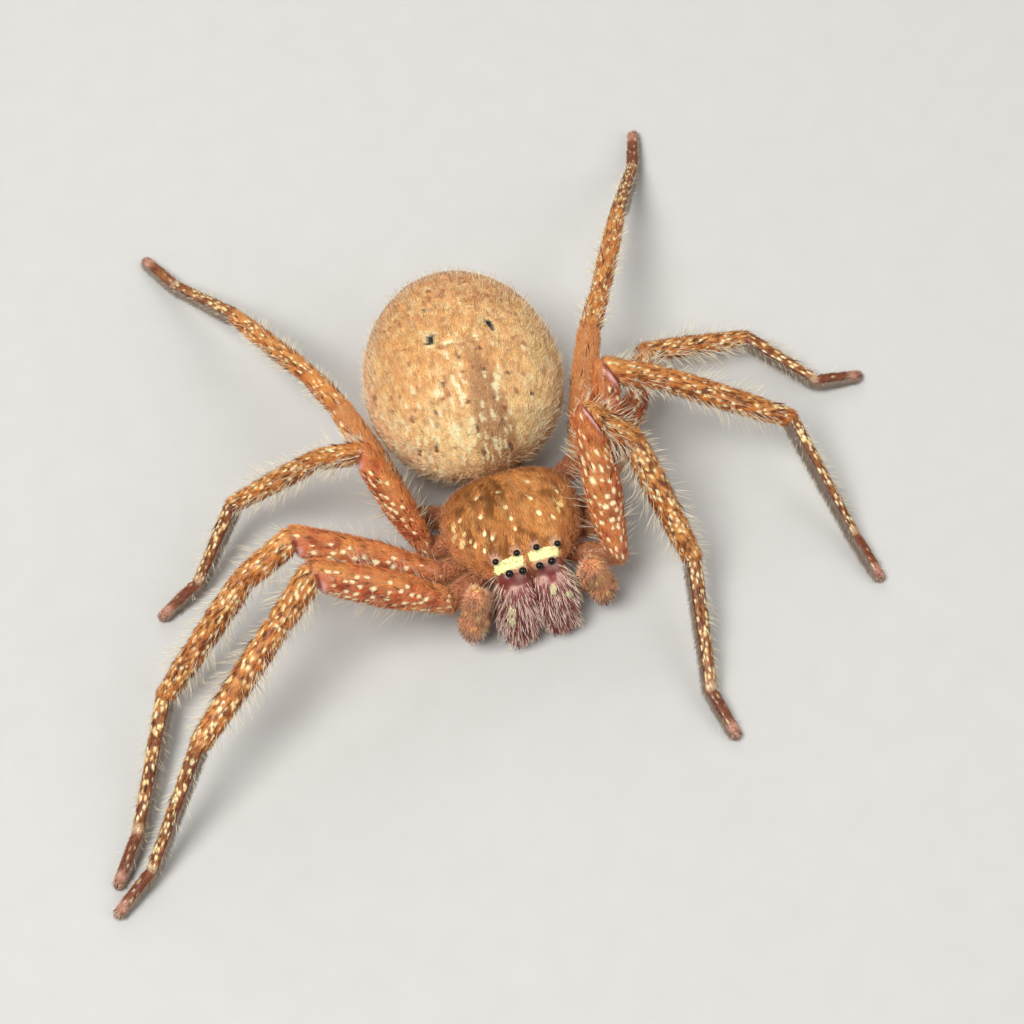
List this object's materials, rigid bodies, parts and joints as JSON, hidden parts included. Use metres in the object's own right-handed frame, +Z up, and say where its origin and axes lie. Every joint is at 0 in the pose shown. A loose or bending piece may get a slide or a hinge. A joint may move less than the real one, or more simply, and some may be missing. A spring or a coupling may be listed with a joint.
{
  "type": "huntsman spider",
  "caption": "Life-size still model of a resting huntsman spider with a round hind body, legs drawn back and bristly jaws, for display.",
  "frame": {"origin": "middle of the whole model's box, on the floor the feet stand on", "axes": "+Z up; the head faces -Y and the spider's own left side is +X"},
  "size_m": [0.0496, 0.0406, 0.0109],
  "materials": {
    "abdomen": "sandy tan under short pale hair, matt",
    "carapace": "red-brown with cream dots and fine hair, satin",
    "leg": "rust orange with cream spots under fine hair, satin",
    "jaw": "maroon under pinkish white bristles, satin",
    "dark horn": "near black, polished",
    "eye": "black, wet gloss",
    "breast": "brown with short hair, satin"
  },
  "bodies": {
    "root": {"abdomen": "abdomen", "carapace": "carapace", "chelicera_left": "jaw", "chelicera_right": "jaw", "eye_anterior_lateral_left": "eye", "eye_anterior_lateral_right": "eye", "eye_anterior_median_left": "eye", "eye_anterior_median_right": "eye", "eye_posterior_lateral_left": "eye", "eye_posterior_lateral_right": "eye", "eye_posterior_median_left": "eye", "eye_posterior_median_right": "eye", "fang_left": "dark horn", "fang_right": "dark horn", "labium": "breast", "leg1_left_coxa": "leg", "leg1_left_femur": "leg", "leg1_left_foot": "leg", "leg1_left_tibia": "leg", "leg1_right_coxa": "leg", "leg1_right_femur": "leg", "leg1_right_foot": "leg", "leg1_right_tibia": "leg", "leg2_left_coxa": "leg", "leg2_left_femur": "leg", "leg2_left_foot": "leg", "leg2_left_tibia": "leg", "leg2_right_coxa": "leg", "leg2_right_femur": "leg", "leg2_right_foot": "leg", "leg2_right_tibia": "leg", "leg3_left_coxa": "leg", "leg3_left_femur": "leg", "leg3_left_foot": "leg", "leg3_left_tibia": "leg", "leg3_right_coxa": "leg", "leg3_right_femur": "leg", "leg3_right_foot": "leg", "leg3_right_tibia": "leg", "leg4_left_coxa": "leg", "leg4_left_femur": "leg", "leg4_left_foot": "leg", "leg4_left_tibia": "leg", "leg4_right_coxa": "leg", "leg4_right_femur": "leg", "leg4_right_foot": "leg", "leg4_right_tibia": "leg", "palp_base_left": "leg", "palp_base_right": "leg", "palp_left": "leg", "palp_right": "leg", "pedicel": "breast", "spinnerets": "abdomen", "sternum": "breast"}
  },
  "joints": []
}
